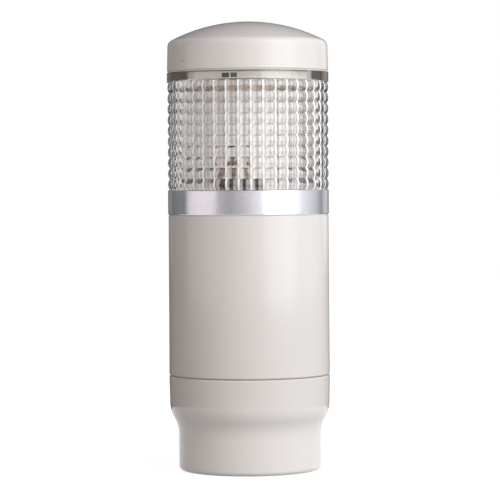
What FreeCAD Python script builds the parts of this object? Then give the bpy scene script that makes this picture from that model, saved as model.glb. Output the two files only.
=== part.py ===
import FreeCAD, Part
import math
import os

# A single-tier signal tower. A mounting base carries the body, the clear ribbed LED unit twists
# onto the body, and the head cover twists onto the LED unit. Millimetres, +Z up, with the
# origin at the centre of the underside.

# Outside form
tower_radius = 30.0        # outside radius at the foot of the body
body_draft = 0.15          # the body is this much narrower at its top
base_draft = 0.2           # the base is this much narrower above its shoulder
foot_step = 3.4            # the foot is this much narrower than the tower
foot_height = 13.4
foot_round = 1.7
shoulder_height = 12.4     # the S-shaped step between the foot and the full width
base_height = 35.4
body_height = 59.3
ring_height = 9.2
cover_height = 18.5
cover_draft = 0.2
cover_round = 2.6
dome_radius = 62.0
edge_break = 0.3           # small chamfer where two housings meet

# Gaps seen between the housings
seam_gap = 0.45            # base to body
unit_gap = 0.25            # body to silver ring
cover_gap = 0.5            # lens to head cover

# Ribbed lens
rib_count = 40
rib_depth = 0.6
row_count = 10
row_pitch = 4.0
row_depth = 0.65
facets = 3                 # flats on each rib, and on each row
collar_height = 3.5
collar_proud = 0.1
skirt_wall = 1.7
neck_wall = 1.6

# Walls and clearances
base_wall = 2.4
floor_thickness = 4.0
body_wall = 2.4
mouth_wall = 1.6
mouth_margin = 1.0
spigot_depth = 4.0
spigot_wall = 2.2
deck_rise = 1.4            # body's inner deck above the foot of the body
deck_thickness = 2.4
deck_opening = 14.0
cover_wall = 1.8
ring_wall = 1.5
ring_lip_height = 1.2
ring_lip_reach = 2.7
turn_clearance = 0.3       # between parts that turn on each other
slip_clearance = 0.2       # between parts that slip together
thread_clearance = 0.05
merge = 0.5                # how far a moulded rib runs into its wall
hole_spare = 0.5           # depth of a blind hole past its screw

# Bayonets
lug_count = 3
lug_half_angle = 8.0
ledge_half_angle = 18.0
stop_half_angle = 1.5
lug_height = 1.6
lug_reach = 1.2
plug_depth = 13.0          # LED unit's plug, below its top face
plug_rise = 1.6            # plug's top face above the foot of the silver ring
plug_plate = 2.0
plug_collar_height = 3.4   # full-width part of the plug, which fills the body's mouth
plug_wall = 2.0
hook_rise = 0.9            # head cover's hooks above its rim

# Seals
seal_radius = 0.45
body_seal_radius = 0.6
gasket_thickness = 0.3

# Screws and inserts
screw_radius = 1.45
screw_head_radius = 2.8
screw_head_height = 2.0
screw_length = 10.0
small_screw_radius = 1.0
small_head_radius = 2.0
small_head_height = 1.4
small_screw_length = 6.0
insert_radius = 2.8
insert_bore_radius = 1.65
insert_length = 8.0
insert_boss_wall = 2.2
insert_boss_margin = 1.2   # insert bosses to the foot's wall
pillar_wall = 2.2
pillar_margin = 0.55       # pillars to the foot's wall

# Cable inlet
grommet_bore_radius = 3.6
grommet_wall = 2.7
grommet_lip = 2.4
grommet_lip_height = 1.4

# Boards and what they carry
board_thickness = 1.6
main_board_margin = 0.8    # from the board's edges to the body's wall
main_board_headroom = 3.0  # from its top edge to the contact board
rail_depth = 3.4
rail_wall = 1.4
contact_headroom = 2.75    # from the contact board up to the plug
contact_board_margin = 0.3
contact_boss_inset = 2.4
contact_boss_radius = 3.0
contact_boss_height = 9.0
track_radii = (6.0, 11.0, 16.0)
track_width = 2.0
track_height = 0.2
spring_width = 1.6
spring_thickness = 0.4
spring_reach = 6.0
spring_lift = 2.0          # free end of a leaf above its contact point
header_size = (16.0, 5.0, 6.0)
capacitor_radius = 5.0
capacitor_length = 11.0
choke_radius = 6.5
choke_bore = 3.0
choke_length = 5.0
component_edge = 4.4       # outer components to the rails
component_gap = 2.0        # between neighbours
component_rise = 0.5       # between components one above the other
rectifier_size = (12.0, 6.0, 4.0)
fuse_radius = 3.5
fuse_length = 8.0
terminal_size = (30.0, 10.0, 8.0)
terminal_count = 6
terminal_hole = 3.2
terminal_hole_depth = 5.0
transistor_size = (10.0, 4.5, 15.0)
transistor_spacing = 14.0
transistor_row = 24.0

# LED unit's inside
board_count = 3
leds_per_board = 4
led_board_width = 15.0
led_board_thickness = 1.0
led_board_height = 44.0
led_board_rise = 1.5
led_size = 5.0
led_height = 1.8
led_chamfer = 0.5
led_pitch = 10.0
first_led = 10.5           # centre of the lowest LED above the foot of its board
carrier_inradius = 7.0
carrier_radius = 11.5
carrier_bore = 4.5
diffuser_radius = 15.5
diffuser_wall = 1.4
diffuser_flutes = 24
diffuser_flute_depth = 0.5
top_board_radius = 18.0
top_board_thickness = 1.2
top_board_drop = 1.0       # top board's underside below the top of the ribs
chip_size = (2.7, 4.0, 2.8)
chip_x = (-9.0, -4.9)
chip_y = -12.0
top_led_radius = 1.0
top_led_height = 1.4
top_led_x = (0.2, 3.0)
top_led_y = -13.5
lens_screw_margin = 0.6    # screw heads to the plug's wall
lens_boss_radius = 2.4
lens_boss_height = 9.0
lens_screw_length = 8.0
connector_size = (15.5, 4.2, 11.0)
connector_centre = (-3.75, -18.9)
wire_radius = 0.55
wire_rise = 7.5
wire_bend = 0.45           # share of the rise that the bend takes up
wire_places = (-6.2, -4.9, -3.6)
wire_hole_margin = 0.6

# Heights that follow from the sizes above
shoulder_top = foot_height + shoulder_height
body_bottom = base_height + seam_gap
body_top = body_bottom + body_height
ring_bottom = body_top + unit_gap
ribs_bottom = ring_bottom + ring_height
ribs_top = ribs_bottom + row_count * row_pitch
collar_top = ribs_top + collar_height
cover_bottom = collar_top + cover_gap
cover_top = cover_bottom + cover_height
deck_bottom = body_bottom + deck_rise
deck_top = deck_bottom + deck_thickness
plug_top = ring_bottom + plug_rise
plate_bottom = plug_top - plug_plate
plug_bottom = plug_top - plug_depth
contact_top = plug_bottom - contact_headroom
contact_bottom = contact_top - board_thickness
main_board_top = contact_bottom - main_board_headroom
plug_collar_bottom = plug_top - plug_collar_height
lip_top = plug_top + ring_lip_height
ledge_top = plug_collar_bottom - turn_clearance
ledge_bottom = ledge_top - lug_height
plug_lug_top = ledge_bottom - turn_clearance
plug_lug_bottom = plug_lug_top - lug_height
mouth_bottom = plug_lug_bottom - mouth_margin
hook_bottom = cover_bottom + hook_rise
hook_top = hook_bottom + lug_height
neck_ledge_bottom = hook_top + turn_clearance
neck_top = neck_ledge_bottom + lug_height
top_board_bottom = ribs_top - top_board_drop
top_board_top = top_board_bottom + top_board_thickness
led_board_bottom = plug_top + led_board_rise

# Radii that follow from the sizes above
shoulder_radius = tower_radius - base_draft
foot_radius = tower_radius - foot_step
rim_inner = shoulder_radius - base_wall
foot_inner = foot_radius - base_wall
spigot_outer = rim_inner - slip_clearance
spigot_inner = spigot_outer - spigot_wall
body_inner = tower_radius - body_wall
body_top_radius = tower_radius - body_draft
mouth_inner = tower_radius - mouth_wall
ring_inner = tower_radius - ring_wall
skirt_outer = ring_inner - slip_clearance
lens_inner = skirt_outer - skirt_wall
cover_inner = tower_radius - cover_wall
main_board_half = body_inner - main_board_margin
contact_board_radius = body_inner - contact_board_margin
contact_screw_ring_radius = body_inner - contact_boss_inset


def at(x, y, z):
    return FreeCAD.Vector(x, y, z)


up = at(0, 0, 1)
origin = at(0, 0, 0)


def disc(radius, low, high, x=0.0, y=0.0):
    return Part.makeCylinder(radius, high - low, at(x, y, low))


def tube(outer, inner, low, high, x=0.0, y=0.0):
    return disc(outer, low, high, x, y).cut(disc(inner, low, high, x, y))


def block(x_low, x_high, y_low, y_high, z_low, z_high):
    return Part.makeBox(x_high - x_low, y_high - y_low, z_high - z_low, at(x_low, y_low, z_low))


def revolved(edges):
    """Solid of revolution of a closed outline that lies in the XZ plane."""
    face = Part.Face(Part.Wire(edges))
    return face.revolve(origin, up, 360)


def outline(points):
    """Straight edges that join (radius, height) points in turn."""
    corners = [at(radius, 0, height) for radius, height in points]
    return [Part.makeLine(a, b) for a, b in zip(corners, corners[1:])]


def turned(points):
    """Solid of revolution of a closed polygon of (radius, height) points."""
    return revolved(outline(points + points[:1]))


def sector(inner, outer, low, high, middle, half_angle):
    """Part of a flat ring, centred on the angle `middle` in degrees."""
    corners = [(inner, low), (outer, low), (outer, high), (inner, high), (inner, low)]
    face = Part.Face(Part.Wire(outline(corners)))
    swept = face.revolve(origin, up, 2 * half_angle)
    swept.rotate(origin, up, middle - half_angle)
    return swept


def around(shape, count, first=0.0):
    """Copies of a shape, evenly spaced about the tower's axis."""
    copies = []
    for index in range(count):
        copy = shape.copy()
        copy.rotate(origin, up, first + index * 360.0 / count)
        copies.append(copy)
    return copies


def polar(radius, angle):
    return radius * math.cos(math.radians(angle)), radius * math.sin(math.radians(angle))


def bayonet_radii(bore):
    """Core, ledge and lug radii of a twist lock inside a bore."""
    lug = bore - turn_clearance
    ledge = lug - lug_reach
    core = ledge - turn_clearance
    return core, ledge, lug


def stop_angle(radius):
    """Centre of the rib that a locked lug rests against."""
    play = math.degrees(turn_clearance / radius)
    return -(lug_half_angle + play + stop_half_angle)


plug_core, plug_ledge, plug_lug = bayonet_radii(mouth_inner)
neck_core, neck_hook, neck_lug = bayonet_radii(cover_inner)
neck_inner = neck_core - neck_wall
plug_inner = plug_core - plug_wall
lens_screw_ring_radius = plug_inner - small_head_radius - lens_screw_margin


def screws(ring_radius, first, seat, shank, length, head, head_height, direction=1):
    """Three pan-head screws, heads on the seat, shanks going down, or up for direction -1."""
    x, y = polar(ring_radius, first)
    if direction > 0:
        solid = disc(shank, seat - length, seat, x, y).fuse(disc(head, seat, seat + head_height, x, y))
    else:
        solid = disc(shank, seat, seat + length, x, y).fuse(disc(head, seat - head_height, seat, x, y))
    return Part.makeCompound(around(solid, 3))


# Mounting base

insert_angle = 30.0
pillar_angle = 90.0
boss_radius = insert_radius + insert_boss_wall
insert_ring_radius = foot_inner - insert_boss_margin - boss_radius
pillar_radius = screw_radius + pillar_wall
pillar_ring_radius = foot_inner - pillar_radius - pillar_margin
grommet_neck = grommet_bore_radius + grommet_wall
grommet_lip_radius = grommet_neck + grommet_lip


def base_shell():
    """Round cup with a narrow foot and an S-shaped shoulder made of two tangent arcs."""
    step = shoulder_radius - foot_radius
    bend = (shoulder_height ** 2 + step ** 2) / (4 * step)
    half_turn = math.atan2(step, shoulder_height)
    reach = bend * (1 - math.cos(half_turn))
    rise = bend * math.sin(half_turn)
    middle = at(foot_radius + step / 2, 0, foot_height + shoulder_height / 2)
    foot_corner = foot_round * (1 - math.sqrt(0.5))
    foot_top = at(foot_radius, 0, foot_height)
    shoulder = at(shoulder_radius, 0, shoulder_top)
    edges = outline([(0, 0), (foot_radius - foot_round, 0)])
    edges += [Part.Arc(at(foot_radius - foot_round, 0, 0), at(foot_radius - foot_corner, 0, foot_corner),
                       at(foot_radius, 0, foot_round)).toShape()]
    edges += outline([(foot_radius, foot_round), (foot_radius, foot_height)])
    edges += [Part.Arc(foot_top, at(foot_radius + reach, 0, foot_height + rise), middle).toShape()]
    edges += [Part.Arc(middle, at(shoulder_radius - reach, 0, shoulder_top - rise), shoulder).toShape()]
    edges += outline([(shoulder_radius, shoulder_top), (tower_radius, base_height - edge_break),
                      (tower_radius - edge_break, base_height), (rim_inner, base_height),
                      (rim_inner, shoulder_top), (foot_inner, foot_height),
                      (foot_inner, floor_thickness), (0, floor_thickness), (0, 0)])
    return revolved(edges)


def mounting_base():
    x, y = polar(insert_ring_radius, insert_angle)
    boss = disc(boss_radius, floor_thickness - merge, insert_length + insert_boss_wall, x, y)
    insert_hole = disc(insert_radius + thread_clearance, 0, insert_length + slip_clearance, x, y)
    x, y = polar(pillar_ring_radius, pillar_angle)
    pillar = disc(pillar_radius, floor_thickness - merge, deck_bottom, x, y)
    screw_hole = disc(screw_radius + thread_clearance, deck_top - screw_length - hole_spare,
                      deck_bottom, x, y)
    lip_recess = disc(grommet_lip_radius + slip_clearance, 0, grommet_lip_height + 2 * slip_clearance)
    inlet = disc(grommet_neck + slip_clearance, 0, floor_thickness)
    solid = base_shell().fuse(around(boss, 3) + around(pillar, 3))
    return solid.cut(around(insert_hole, 3) + around(screw_hole, 3) + [lip_recess, inlet])


def mounting_inserts():
    x, y = polar(insert_ring_radius, insert_angle)
    return Part.makeCompound(around(tube(insert_radius, insert_bore_radius, 0, insert_length, x, y), 3))


def cable_grommet():
    lip_top_low = slip_clearance + grommet_lip_height
    upper_low = floor_thickness + slip_clearance
    upper_high = upper_low + grommet_lip_height
    return turned([(grommet_bore_radius, slip_clearance), (grommet_lip_radius, slip_clearance),
                   (grommet_lip_radius, lip_top_low), (grommet_neck, lip_top_low),
                   (grommet_neck, upper_low), (grommet_lip_radius, upper_low),
                   (grommet_lip_radius, upper_high), (grommet_bore_radius, upper_high)])


# Body

groove_depth = 2 * body_seal_radius + thread_clearance
body_seal_height = base_height - spigot_depth / 2
main_board_face = board_thickness / 2
first_column = component_edge + capacitor_radius + rail_depth - main_board_half
second_column = first_column + 2 * capacitor_radius + component_gap
third_column = second_column + capacitor_radius + component_gap + choke_radius
header_column = third_column - choke_radius - (component_gap + header_size[0]) / 2
terminal_row = screw_head_height + slip_clearance + terminal_size[2] / 2
first_row = terminal_row + terminal_size[2] / 2 + component_rise
rectifier_row = first_row + rectifier_size[2] / 2
capacitor_row = first_row + rectifier_size[2] + component_rise + capacitor_radius
fuse_row = first_row + fuse_radius
choke_row = first_row + 2 * fuse_radius + component_rise + choke_radius


def body_shell():
    groove_low = body_seal_height - body_seal_radius - thread_clearance
    groove_high = body_seal_height + body_seal_radius + thread_clearance
    return turned([(spigot_inner, base_height - spigot_depth), (spigot_outer, base_height - spigot_depth),
                   (spigot_outer, groove_low), (spigot_outer - groove_depth, groove_low),
                   (spigot_outer - groove_depth, groove_high), (spigot_outer, groove_high),
                   (spigot_outer, body_bottom), (tower_radius - edge_break, body_bottom),
                   (tower_radius, body_bottom + edge_break),
                   (body_top_radius, body_top - edge_break), (body_top_radius - edge_break, body_top),
                   (mouth_inner, body_top), (mouth_inner, mouth_bottom),
                   (body_inner, mouth_bottom - mouth_margin), (body_inner, deck_top),
                   (deck_opening, deck_top), (deck_opening, deck_bottom), (spigot_inner, deck_bottom)])


def board_rails():
    """Two slots down the body's wall that hold the main board's edges."""
    near = main_board_face + slip_clearance / 2
    rail = block(main_board_half - rail_depth, body_inner + merge, near, near + rail_wall,
                 deck_top - merge, main_board_top)
    other = rail.mirror(origin, at(0, 1, 0))
    return around(rail, 2) + around(other, 2)


def body():
    ledge = sector(plug_ledge, mouth_inner + merge, ledge_bottom, ledge_top, 0, ledge_half_angle)
    stop = sector(plug_ledge, mouth_inner + merge, mouth_bottom, ledge_bottom,
                  stop_angle(plug_ledge), stop_half_angle)
    x, y = polar(contact_screw_ring_radius, pillar_angle)
    boss = disc(contact_boss_radius, contact_bottom - contact_boss_height, contact_bottom, x, y)
    boss_hole = disc(small_screw_radius + thread_clearance, contact_top - small_screw_length - hole_spare,
                     contact_bottom, x, y)
    x, y = polar(pillar_ring_radius, pillar_angle)
    deck_hole = disc(screw_radius + slip_clearance, deck_bottom, deck_top, x, y)
    solid = body_shell().fuse(around(ledge, lug_count) + around(stop, lug_count))
    solid = solid.fuse(board_rails() + around(boss, 3))
    return solid.cut(around(boss_hole, 3) + around(deck_hole, 3))


def body_seal():
    centre = spigot_outer - body_seal_radius
    return Part.makeTorus(centre, body_seal_radius - thread_clearance, at(0, 0, body_seal_height))


def contact_board():
    x, y = polar(contact_screw_ring_radius, pillar_angle)
    hole = disc(small_screw_radius + slip_clearance, contact_bottom, contact_top, x, y)
    return disc(contact_board_radius, contact_bottom, contact_top).cut(around(hole, 3))


def contact_tracks():
    return Part.makeCompound([tube(radius + track_width / 2, radius - track_width / 2, contact_top,
                                   contact_top + track_height) for radius in track_radii])


def main_board():
    return block(-main_board_half, main_board_half, -main_board_face, main_board_face,
                 deck_top, main_board_top)


def on_board(size, x, height, side=-1):
    """Rectangular component on the main board: side -1 is the front, 1 the back."""
    width, depth, tall = size
    low = deck_top + height - tall / 2
    near, far = sorted((side * main_board_face, side * (main_board_face + depth)))
    return block(x - width / 2, x + width / 2, near, far, low, low + tall)


def round_component(radius, length, x, height, bore=0.0):
    """Round component standing out from the front of the main board."""
    foot = at(x, -main_board_face, deck_top + height)
    solid = Part.makeCylinder(radius, length, foot, at(0, -1, 0))
    return solid.cut(Part.makeCylinder(bore, length, foot, at(0, -1, 0))) if bore else solid


def board_header():
    width, depth, tall = header_size
    return block(header_column - width / 2, header_column + width / 2,
                 -main_board_face - depth, -main_board_face, contact_bottom - tall, contact_bottom)


def terminal_block():
    width, depth, tall = terminal_size
    solid = on_board(terminal_size, 0, terminal_row)
    pitch = width / terminal_count
    front = -main_board_face - depth
    half = terminal_hole / 2
    middle = deck_top + terminal_row
    for index in range(terminal_count):
        x = (index - (terminal_count - 1) / 2) * pitch
        solid = solid.cut(block(x - half, x + half, front, front + terminal_hole_depth,
                                middle - half, middle + half))
    return solid


# LED unit

def led_unit_base():
    """Plug that twists into the body's mouth, with the plate that carries the LED column."""
    groove_middle = (plug_collar_bottom + body_top) / 2
    groove_low = groove_middle - seal_radius - thread_clearance
    groove_high = groove_middle + seal_radius + thread_clearance
    groove_radius = plug_lug - 2 * seal_radius - thread_clearance
    solid = turned([(0, plate_bottom), (plug_inner, plate_bottom),
                    (plug_inner, plug_bottom), (plug_core, plug_bottom),
                    (plug_core, plug_collar_bottom), (plug_lug, plug_collar_bottom),
                    (plug_lug, groove_low), (groove_radius, groove_low),
                    (groove_radius, groove_high), (plug_lug, groove_high),
                    (plug_lug, plug_top), (0, plug_top)])
    lug = sector(plug_core - merge, plug_lug, plug_lug_bottom, plug_lug_top, 0, lug_half_angle)
    x, y = polar(lens_screw_ring_radius, pillar_angle)
    hole = disc(small_screw_radius + slip_clearance, plate_bottom, plug_top, x, y)
    return solid.fuse(around(lug, lug_count)).cut(around(hole, 3))


def unit_seal():
    centre = plug_lug - seal_radius
    height = (plug_collar_bottom + body_top) / 2
    return Part.makeTorus(centre, seal_radius - thread_clearance, at(0, 0, height))


def silver_ring():
    lip_inner = ring_inner - ring_lip_reach
    return turned([(ring_inner, ring_bottom), (tower_radius - edge_break, ring_bottom),
                   (tower_radius, ring_bottom + edge_break), (tower_radius, ribs_bottom - edge_break),
                   (tower_radius - edge_break, ribs_bottom), (ring_inner, ribs_bottom),
                   (ring_inner, lip_top), (lip_inner, lip_top), (lip_inner, plug_top),
                   (ring_inner, plug_top)])


def bulge(step):
    """Height of a shallow arc over a width of one, as a share of its height in the middle."""
    return 1 - (2 * step - 1) ** 2


def ribbed_section(scale, height):
    """Closed section through the upright ribs, with flats that follow each rib's arc."""
    corners = []
    for index in range(rib_count * facets):
        radius = tower_radius - rib_depth * (1 - bulge((index % facets) / facets))
        x, y = polar(radius * scale, index * 360.0 / (rib_count * facets))
        corners.append(at(x, y, height))
    return corners


def ribbed_sleeve():
    """Outside of the lens: upright ribs that swell and narrow with each row."""
    sections = []
    for index in range(row_count * facets + 1):
        narrowing = row_depth * (1 - bulge((index % facets) / facets))
        scale = 1 - narrowing / tower_radius
        sections.append(ribbed_section(scale, ribs_bottom + index * row_pitch / facets))
    faces = []
    for low, high in zip(sections, sections[1:]):
        for index in range(len(low)):
            faces.append(Part.Face(Part.makePolygon([low[index - 1], low[index], high[index],
                                                     high[index - 1], low[index - 1]])))
    for section in (sections[0], sections[-1]):
        faces.append(Part.Face(Part.makePolygon(section + section[:1])))
    return Part.makeSolid(Part.makeShell(faces))


def lens_fittings():
    """Skirt, collar and bayonet neck of the lens, with its three screw bosses."""
    skirt = disc(skirt_outer, lip_top, ribs_bottom)
    collar = disc(tower_radius + collar_proud, ribs_top, collar_top)
    neck = disc(neck_core, collar_top, neck_top)
    ledge = sector(neck_core - merge, neck_lug, neck_ledge_bottom, neck_top, 0, ledge_half_angle)
    stop = sector(neck_core - merge, neck_lug, hook_bottom, neck_ledge_bottom,
                  stop_angle(neck_hook), stop_half_angle)
    return [skirt, collar, neck] + around(ledge, lug_count) + around(stop, lug_count)


def lens():
    solid = ribbed_sleeve().fuse(lens_fittings())
    bore_top = collar_top - neck_wall
    solid = solid.cut([disc(lens_inner, lip_top, bore_top), disc(neck_inner, bore_top, neck_top)])
    x, y = polar(lens_screw_ring_radius, pillar_angle)
    boss = disc(lens_boss_radius, plug_top, plug_top + lens_boss_height, x, y)
    web = block(lens_screw_ring_radius, lens_inner + merge, -lens_boss_radius / 2, lens_boss_radius / 2,
                lip_top, plug_top + lens_boss_height)
    web.rotate(origin, up, pillar_angle)
    hole = disc(small_screw_radius + thread_clearance, plug_top,
                plate_bottom + lens_screw_length + hole_spare, x, y)
    return solid.fuse(around(boss, 3) + around(web, 3)).cut(around(hole, 3))


def board_carrier():
    """Three-sided column, rounded at its corners, with the LED boards on its flats."""
    column = tube(carrier_radius, carrier_bore, plug_top, top_board_bottom)
    cutter = block(-carrier_radius, carrier_radius, -2 * carrier_radius, -carrier_inradius,
                   plug_top, top_board_bottom)
    return column.cut(around(cutter, board_count))


def led_board():
    """The front board, which faces -Y."""
    return block(-led_board_width / 2, led_board_width / 2, -carrier_inradius - led_board_thickness,
                 -carrier_inradius, led_board_bottom, led_board_bottom + led_board_height)


def led(row):
    """One LED package on the front board."""
    face = -carrier_inradius - led_board_thickness
    middle = led_board_bottom + first_led + row * led_pitch
    half = led_size / 2
    package = block(-half, half, face - led_height, face, middle - half, middle + half)
    rim = [edge for edge in package.Edges if abs(edge.CenterOfMass.y - (face - led_height)) < 0.01]
    return package.makeChamfer(led_chamfer, rim)


def diffuser_tube():
    """Inner light tube with fine upright flutes and a hole for the lead wires."""
    corners = []
    for index in range(2 * diffuser_flutes):
        radius = diffuser_radius - diffuser_flute_depth * (index % 2)
        x, y = polar(radius, index * 180.0 / diffuser_flutes)
        corners.append(at(x, y, plug_top))
    face = Part.Face(Part.makePolygon(corners + corners[:1]))
    solid = face.extrude(at(0, 0, top_board_bottom - plug_top))
    solid = solid.cut(disc(diffuser_radius - diffuser_wall, plug_top, top_board_bottom))
    margin = wire_radius + wire_hole_margin
    wire_level = plug_top + connector_size[2] + wire_rise
    hole = block(min(wire_places) - margin, max(wire_places) + margin, -diffuser_radius, 0,
                 wire_level - margin, wire_level + margin)
    return solid.cut(hole)


def top_board():
    return disc(top_board_radius, top_board_bottom, top_board_top)


def driver_chip(x):
    width, depth, tall = chip_size
    return block(x - width / 2, x + width / 2, chip_y - depth / 2, chip_y + depth / 2,
                 top_board_top, top_board_top + tall)


def top_led(x):
    base = top_board_top + top_led_height
    lamp = disc(top_led_radius, top_board_top, base, x, top_led_y)
    return lamp.fuse(Part.makeSphere(top_led_radius, at(x, top_led_y, base)))


def lead_connector():
    x, y = connector_centre
    width, depth, tall = connector_size
    return block(x - width / 2, x + width / 2, y - depth / 2, y + depth / 2, plug_top, plug_top + tall)


def lead_wire(x):
    """Rises from the connector, then bends back to the front LED board."""
    y = connector_centre[1]
    low = plug_top + connector_size[2]
    high = low + wire_rise
    board = -carrier_inradius - led_board_thickness
    bend = wire_bend * wire_rise
    corner = bend * (1 - math.sqrt(0.5))
    rise = Part.makeLine(at(x, y, low), at(x, y, high - bend))
    turn = Part.Arc(at(x, y, high - bend), at(x, y + corner, high - corner), at(x, y + bend, high))
    run = Part.makeLine(at(x, y + bend, high), at(x, board, high))
    path = Part.Wire([rise, turn.toShape(), run])
    circle = Part.Wire(Part.makeCircle(wire_radius, at(x, y, low), up))
    return path.makePipeShell([circle], True, False)


def contact_springs():
    """Bent leaves under the plate, each just above its own track."""
    tip = contact_top + track_height + turn_clearance
    leaves = []
    for index, radius in enumerate(track_radii):
        points = [(-spring_reach, plate_bottom), (-spring_reach / 2, plate_bottom),
                  (-spring_reach / 2, plate_bottom - spring_thickness),
                  (0.2 * spring_reach, tip + spring_thickness), (spring_reach / 2, tip + spring_lift),
                  (spring_reach / 2, tip + spring_lift - spring_thickness), (0.2 * spring_reach, tip),
                  (-spring_reach, plate_bottom - spring_thickness)]
        corners = [at(x, radius - spring_width / 2, z) for x, z in points]
        leaf = Part.Face(Part.makePolygon(corners + corners[:1])).extrude(at(0, spring_width, 0))
        leaf.rotate(origin, up, index * 120.0)
        leaves.append(leaf)
    return Part.makeCompound(leaves)


# Head cover

def head_cover():
    """Shallow domed cap with a rounded corner, hollow, with three inward hooks."""
    side = tower_radius - cover_draft
    centre = cover_top - dome_radius
    round_x = side - cover_round
    round_z = centre + math.sqrt((dome_radius - cover_round) ** 2 - round_x ** 2)
    slope = math.atan2(round_z - centre, round_x)
    crest = (slope + math.pi / 2) / 2
    inside = dome_radius - cover_wall
    inner_slope = math.acos(cover_inner / inside)
    inner_crest = (inner_slope + math.pi / 2) / 2

    def on_arc(x, z, radius, angle):
        return at(x + radius * math.cos(angle), 0, z + radius * math.sin(angle))

    dome_edge = on_arc(0, centre, dome_radius, slope)
    inner_edge = on_arc(0, centre, inside, inner_slope)
    edges = outline([(cover_inner, cover_bottom), (tower_radius - edge_break, cover_bottom),
                     (tower_radius, cover_bottom + edge_break), (side, round_z)])
    edges += [Part.Arc(at(side, 0, round_z), on_arc(round_x, round_z, cover_round, slope / 2),
                       dome_edge).toShape()]
    edges += [Part.Arc(dome_edge, on_arc(0, centre, dome_radius, crest), at(0, 0, cover_top)).toShape()]
    edges += outline([(0, cover_top), (0, cover_top - cover_wall)])
    edges += [Part.Arc(at(0, 0, cover_top - cover_wall), on_arc(0, centre, inside, inner_crest),
                       inner_edge).toShape()]
    edges += [Part.makeLine(inner_edge, at(cover_inner, 0, cover_bottom))]
    hook = sector(neck_hook, cover_inner + merge, hook_bottom, hook_top, 0, lug_half_angle)
    return revolved(edges).fuse(around(hook, lug_count))


def cover_gasket():
    return tube(tower_radius - cover_wall / 2, neck_core + slip_clearance, collar_top,
                collar_top + gasket_thickness)


def parts():
    """Every piece of the tower, by name."""
    pieces = {
        "mounting_base": mounting_base(),
        "mounting_inserts": mounting_inserts(),
        "cable_grommet": cable_grommet(),
        "body": body(),
        "body_seal": body_seal(),
        "body_screws": screws(pillar_ring_radius, pillar_angle, deck_top, screw_radius, screw_length,
                              screw_head_radius, screw_head_height),
        "main_board": main_board(),
        "board_header": board_header(),
        "capacitor_1": round_component(capacitor_radius, capacitor_length, first_column, capacitor_row),
        "capacitor_2": round_component(capacitor_radius, capacitor_length, second_column, capacitor_row),
        "choke_coil": round_component(choke_radius, choke_length, third_column, choke_row, choke_bore),
        "rectifier": on_board(rectifier_size, first_column, rectifier_row),
        "fuse": round_component(fuse_radius, fuse_length, third_column, fuse_row),
        "terminal_block": terminal_block(),
        "contact_board": contact_board(),
        "contact_tracks": contact_tracks(),
        "contact_board_screws": screws(contact_screw_ring_radius, pillar_angle, contact_top,
                                       small_screw_radius, small_screw_length,
                                       small_head_radius, small_head_height),
        "led_unit_base": led_unit_base(),
        "unit_seal": unit_seal(),
        "contact_springs": contact_springs(),
        "silver_ring": silver_ring(),
        "lens": lens(),
        "lens_screws": screws(lens_screw_ring_radius, pillar_angle, plate_bottom, small_screw_radius,
                              lens_screw_length, small_head_radius, small_head_height, -1),
        "board_carrier": board_carrier(),
        "diffuser_tube": diffuser_tube(),
        "top_board": top_board(),
        "lead_connector": lead_connector(),
        "cover_gasket": cover_gasket(),
        "head_cover": head_cover(),
    }
    for index, x in enumerate((-1, 0, 1)):
        pieces[f"output_transistor_{index + 1}"] = on_board(transistor_size, x * transistor_spacing,
                                                            transistor_row, 1)
    for index, colour in enumerate(("red", "orange", "yellow")):
        pieces[f"lead_wire_{colour}"] = lead_wire(wire_places[index])
    for index, x in enumerate(chip_x):
        pieces[f"driver_chip_{index + 1}"] = driver_chip(x)
    for index, x in enumerate(top_led_x):
        pieces[f"top_led_{index + 1}"] = top_led(x)
    for index, board in enumerate(around(led_board(), board_count)):
        pieces[f"led_board_{index + 1}"] = board
    for row in range(leds_per_board):
        for index, package in enumerate(around(led(row), board_count)):
            pieces[f"led_{row + 1}_on_board_{index + 1}"] = package
    return pieces


os.makedirs("parts", exist_ok=True)
for name, shape in parts().items():
    shape.exportStep(f"parts/{name}.step")
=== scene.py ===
import math
import bmesh
import bpy
from mathutils import Matrix, Vector


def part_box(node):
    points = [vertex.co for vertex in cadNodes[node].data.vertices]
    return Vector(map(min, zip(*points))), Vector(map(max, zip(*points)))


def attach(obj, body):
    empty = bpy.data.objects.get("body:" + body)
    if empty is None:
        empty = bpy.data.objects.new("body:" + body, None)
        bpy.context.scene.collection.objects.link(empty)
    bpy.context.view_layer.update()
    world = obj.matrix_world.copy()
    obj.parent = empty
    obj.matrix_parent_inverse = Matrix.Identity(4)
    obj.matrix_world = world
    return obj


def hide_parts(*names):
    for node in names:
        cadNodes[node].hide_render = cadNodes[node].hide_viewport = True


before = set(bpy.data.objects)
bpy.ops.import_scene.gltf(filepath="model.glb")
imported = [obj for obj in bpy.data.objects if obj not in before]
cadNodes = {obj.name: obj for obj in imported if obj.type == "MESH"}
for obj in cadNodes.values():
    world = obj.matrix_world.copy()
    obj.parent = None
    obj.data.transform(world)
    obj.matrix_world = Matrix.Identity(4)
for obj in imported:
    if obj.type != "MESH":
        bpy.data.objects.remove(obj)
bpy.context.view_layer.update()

mm = 0.001
mergeDistance = 1e-7    # vertices nearer than this become one
slack = 1e-6            # for comparing two measures
quarterTurn = math.radians(90)
fullTurn = math.radians(360)
xAxis = Vector((1, 0, 0))
zAxis = Vector((0, 0, 1))


def footOf(name):
    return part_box(name)[0].z


def topOf(name):
    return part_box(name)[1].z


def radiusOf(name):
    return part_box(name)[1].x    # of a turned node


def addObject(name, data, material=None):
    piece = bpy.data.objects.new(name, data)
    bpy.context.scene.collection.objects.link(piece)
    if material:
        data.materials.append(material)
    return piece


def meshFrom(name, bm):
    mesh = bpy.data.meshes.new(name)
    bm.to_mesh(mesh)
    bm.free()
    return mesh


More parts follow.
